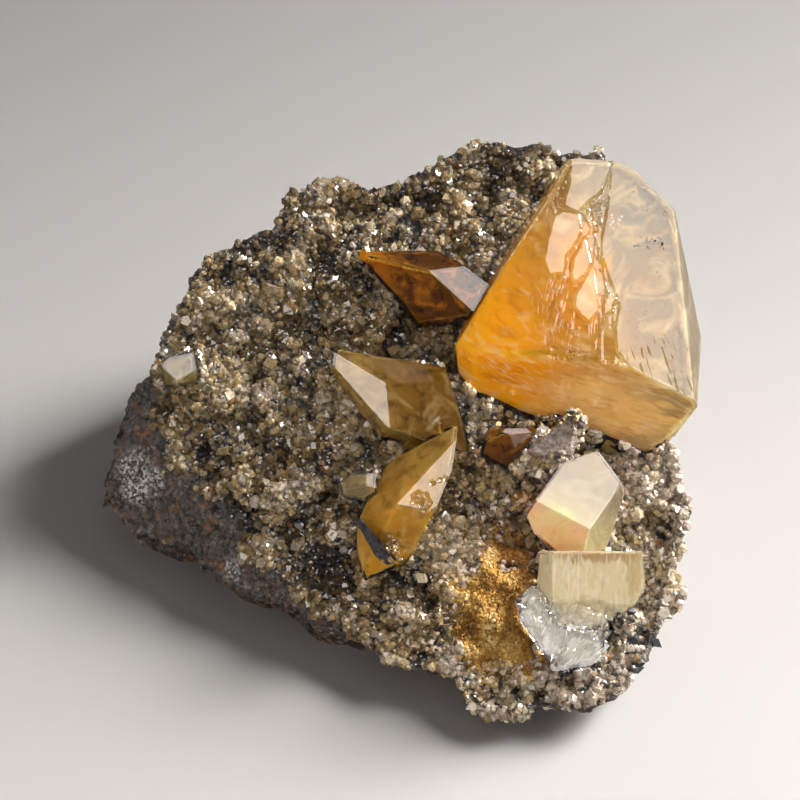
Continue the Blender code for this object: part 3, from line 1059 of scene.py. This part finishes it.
PITS = [((6.3, -29.8, 38.4), 2.4, 1.2), ((9.0, -25.6, 39.8), 0.7, 0.5),
        ((10.6, -25.0, 40.0), 0.7, 0.5), ((12.0, -24.6, 40.2), 0.7, 0.5)]
FROSTED = {"roughness": 0.22, "wave": 0.9}
for node in LOOKS:
    if node == "calcite_cleaved":
        add_skin(node, fractured(whole_faces(node), 0.0))
    elif node == "calcite_double":
        add_skin(node, pitted(shell(node), PITS))
    elif node in ("calcite_edge", "calcite_pale"):
        add_skin(node, shell(node), **FROSTED)
    elif node != "calcite_great":
        add_skin(node, shell(node))

# %% [markdown]
# ### Hearts
#
# The hearts differ: golden and pale in the largest crystal, milky in the cream one, brown in the
# amber ones, and nearly colourless in the cleaved block, whose broken root is white with cracks.

# %% Hearts


def under_windows(vert):
    """How much deeper the largest heart lies: clearest under the windows, and at worn edges."""
    clear = (1.4 + 1.2 * step(50, 56, vert.co.x / MM)) * step(0.8, 0.92, vert.normal.z)
    worn_away = 0.7 * step(4 * MM, 1 * MM, from_edges(vert.co, worn_edges))
    return clear + relief(vert.co, vert.normal) + worn_away


FINE = {"cell": 1.6, "rounds": 2, "extra": under_windows}
BROKEN = {"rounds": 0, "smooth": False}
HEARTS = [  # name, depth, roughness, shape; colours, their line, veil, dark clouds, soak; the rest
    ("great", 0.35, 0.6, FINE, ("#ffc020", "#a8986c"), ((30, 0, 50), (58, 10, 50)),
     ("#ffeebc", 0.6), ("#b47c24", 0.4), 4, {"stretch": (0.7, 0.7, 2.4), "spots": [
        ((21, -3, 50), (5, 8, 8), "#ffca50", 0.7), ((33, -6, 45), (12, 8, 5), "#f7dca0", 0.6),
        ((48, -8, 42), (26, 10, 17), "#fade94", 0.85),
        ((60, 36, 68), (11, 10, 7), "#8c8a74", 0.7),
        ((45, 18, 64), (7, 21, 11), "#fcc252", 0.75),
        ((62, -9, 34), (9, 7, 6), "#a48c5c", 0.6)]}),
    ("cream", 0.4, 0.4, {}, ("#e4d8a8", "#b8ac94"), ((36, -32, 32), (42, -26, 42)),
     ("#f0e8cc", 0.4), ("#c8a860", 0.3), 0.6, {"reach": (1, 1, 1), "spots": [
        ((39, -36, 30), (11.5, 9, 12), "#d8dfa6", 0.85)]}),
    ("honey", 0.5, 0.7, {}, ("#a88844", "#8c6824"), ((-10, 0, 40), (6, 0, 40)),
     ("#d8c488", 0.5), ("#4c3814", 0.7), 2.5, {}),
    ("double", 0.5, 0.7, {}, ("#d8a838", "#a88c44"), ((-8, -35, 32), (12, -20, 40)),
     ("#e8cc88", 0.5), ("#6c4a18", 0.6), 2.5, {"spots": [
        ((-3, -29, 38), (4, 5, 5), "#f4c060", 0.5), ((4, -37, 33), (5, 4, 5), "#9c7030", 0.5)]}),
    ("amber", 1.0, 1.2, {}, ("#f09c18", "#70480e"), ((-8, 27, 50), (2, 27, 50)),
     ("#d08c20", 0.8), ("#2e1c06", 0.9), 2.5, {"size": 5.0}),
    ("foot", 0.9, 1.0, {}, ("#a87020", "#6c4414"), ((15, -10, 30), (35, -15, 30)),
     ("#b88428", 0.7), ("#2a1806", 0.8), 2.5, {"size": 5.0}),
    ("cleaved", 0.5, 0.1, BROKEN, ("#f0efee", "#d8cca8"), ((40, -56, 22), (42, -53, 30)),
     ("#ffffff", 0.3), ("#6c6a60", 0.2), 1.2, {"size": 3.0, "stretch": (2.2, 0.6, 0.8), "spots": [
        ((42, -61, 23), (8, 5, 6), "#ffffff", 1.0), ((34.5, -58, 24), (3, 4, 4), "#4c4a46", 0.85),
        ((47, -59, 25), (3, 3, 4), "#5e5b54", 0.8), ((39, -60, 20), (2, 2.5, 3), "#5e5b54", 0.8),
        ((48, -43, 37), (16, 3.5, 3), "#a88032", 0.8), ((56, -46, 35), (3, 8, 8), "#b89c58", 0.6),
        ((42.6, -47, 34), (0.2, 12, 9), "#ffffff", 0.35),
        ((40.2, -47, 34), (0.16, 12, 9), "#ffffff", 0.3)]}),
    ("edge", 0.9, 0.5, {}, ("#7e6f42", "#a4965e"), ((-60, 10, 38), (-50, 20, 42)),
     ("#d8cc9c", 0.6), ("#3c3420", 0.8), 2, {}),
    ("pale", 0.9, 0.5, {}, ("#8c7644", "#a89458"), ((-10, -25, 32), (0, -20, 36)),
     ("#d8c898", 0.6), ("#40361c", 0.8), 2, {}),
]
for name, depth, rough, shape, *finish, more in HEARTS:
    node = "calcite_" + name
    bm = heart(node, depth, rough, **shape)
    if shape == BROKEN:
        fractured(bm, 0.3)
    add_piece(node + "_heart", bm, cloudy(name + "_cloud", *finish, **more))

# %% [markdown]
# ### Inclusions
#
# Close under the upper faces of the largest crystal float dark flakes of mineral dust and bright
# specks, which are tiny open cracks. They are made as grains between the skin and the heart.

# %% Inclusions
speck = grain_finish("sealed_specks", [(0.0, "#3c2408"), (0.5, "#9a6420"), (1.0, "#fffaf0")], {})
SPECKS = [  # middle, spread and radius in millimetres, count, tint
    ((61.6, 25.3, 68.4), (2.6, 1.1, 0.5), 0.35, 26, 0.1),
    ((62.2, 33.4, 70.9), (2.4, 0.4, 0.6), 0.22, 16, 0.2),
    ((53.0, 29.2, 71.6), (1.2, 1.3, 0.4), 0.28, 14, 1.0),
    ((41.8, -1.6, 58.3), (2.6, 1.4, 0.7), 0.16, 40, 0.35),
    ((67.5, 14.0, 61.5), (0.5, 0.6, 0.3), 0.3, 3, 1.0),
    ((57.0, 14.0, 66.4), (6.0, 9.0, 0.6), 0.12, 30, 0.5),
]
FARTHEST = 1.6  # times the spread, so that none leaves the crystal
UP = [0.0, 0.0, 1.0]
counts = [row[3] for row in SPECKS]
middles, spreads, radii, counts, tints = (
    np.repeat(column, counts, axis=0) for column in zip(*SPECKS))
away = np.clip(rng.normal(size=middles.shape), -FARTHEST, FARTHEST)
joined_grains("calcite_great_specks", (middles + away * spreads) * MM,
              np.tile(UP, (len(away), 1)), radii * MM * rng.uniform(0.4, 1.2, len(away)), 1.0, 0.0,
              speck, tints)

# %% [markdown]
# Healed cracks show as thin white slivers just under the skin: bright streaks that fan out in the
# fractured root, and a few fine ones in the largest crystal.

# %% Slivers


def slivers(node, groups, form):
    """White slivers on parts of a heart. A group is middle, radii, direction, count and length."""
    mesh = bpy.data.objects[node + "_heart"].data
    points = np.array([v.co for v in mesh.vertices])
    outward = np.array([v.normal for v in mesh.vertices])
    for number, (middle, radii, direction, count, length) in enumerate(groups):
        away = np.linalg.norm((points / MM - middle) / radii, axis=1)
        picked = rng.choice(np.where(away < 1)[0], count)
        out, direction = outward[picked], np.array(direction)
        aim = direction - out * (out @ direction)[:, None]
        sideways = np.cross(aim, out)
        spots = points[picked] + (out * 0.12 + aim * rng.normal(size=(count, 1)) * 0.5
                                  + sideways * rng.normal(size=(count, 1)) * 0.5) * MM
        sizes = length * MM * rng.uniform(0.3, 1.0, count)
        joined_grains(f"{node}_slivers_{number}", spots, aim, sizes, 0.16, 0.0, speck,
                      np.full(count, 1.0), form)


slivers("calcite_cleaved", [
    ((43, -60, 22), (8, 6, 6), (0.7, 0.25, 0.65), 260, 1.8),
    ((35, -55, 25), (5, 6, 5), (0.1, 0.6, 0.8), 90, 1.6)], (0.05, 0.12, 1.0))
slivers("calcite_great", [
    ((29, 1, 47), (12, 6, 5), (0.9, -0.3, -0.4), 60, 1.5),
    ((38, 7, 62), (6, 12, 6), (0.1, 0.9, 0.35), 90, 1.3)], (0.03, 0.06, 1.0))

# %% [markdown]
# ## Rock flake
#
# The flake lying on the doubly terminated crystal is the same dark sulphide, chipped all over, with
# some glassy grains on its rim. Its finish is the rock's, so it carries the same "coat" value.

# %% Rock flake
bm = whole_faces("rock_flake")
refine(bm, 0.6)
displace(bm.verts, [v.normal * -MM * (0.1 + 0.3 * chip(v.co, 1.8, 31)) for v in bm.verts])
coat = bm.verts.layers.float.new("coat")
for vert in bm.verts:
    vert[coat] = 1.0
add_piece("rock_flake_chipped", bm, ore, ["rock_flake"])
GRAINS = 60
spots = rng.normal((-0.6, -38.5, 31.2), (0.9, 2.0, 0.7), (GRAINS, 3)) * MM
joined_grains("flake_grains", spots, np.tile(UP, (GRAINS, 1)), rng.uniform(0.2, 0.5, GRAINS) * MM,
              1.0, 0.0, glassy, rng.uniform(0.0, 0.7, GRAINS))

# %% [markdown]
# ## Light through the crystals
#
# A lamp's direct light doesn't pass clear glass here, and tracing it by chance would be slow. So
# the pale crystals don't block the key light, which then reaches the rock behind them. The hearts
# are left out of it: the cards light them. The whole specimen blocks the table's own copy of the
# key light, which makes the shadow.

# %% Light through the crystals


def linked(name, pieces, state):
    """A collection that includes or excludes pieces for a light."""
    made = bpy.data.collections.new(name)
    for piece in pieces:
        made.objects.link(piece)
    for entry in made.collection_objects:
        entry.light_linking.link_state = state
    return made


PALE = ("calcite_great", "calcite_cream", "calcite_cleaved")
passed = [ob for ob in bpy.data.objects if ob.name.startswith(PALE)]
hearts = [ob for ob in bpy.data.objects if ob.name.endswith("_heart")]
cream = bpy.data.objects["calcite_cream_heart"]
key.light_linking.blocker_collection = linked("passed_crystals", passed, "EXCLUDE")
for light, name, pieces, state in (
        (key_on_table, "lit_table", [table], "INCLUDE"),
        (key, "lit_by_key", [table, *hearts], "EXCLUDE"),
        (front_fill, "lit_specimen", [table, cream], "EXCLUDE"),
        (fill, "lit_by_fill", [cream], "EXCLUDE")):
    light.light_linking.receiver_collection = linked(name, pieces, state)
print("the key light passes:", ", ".join(sorted(ob.name for ob in passed)))
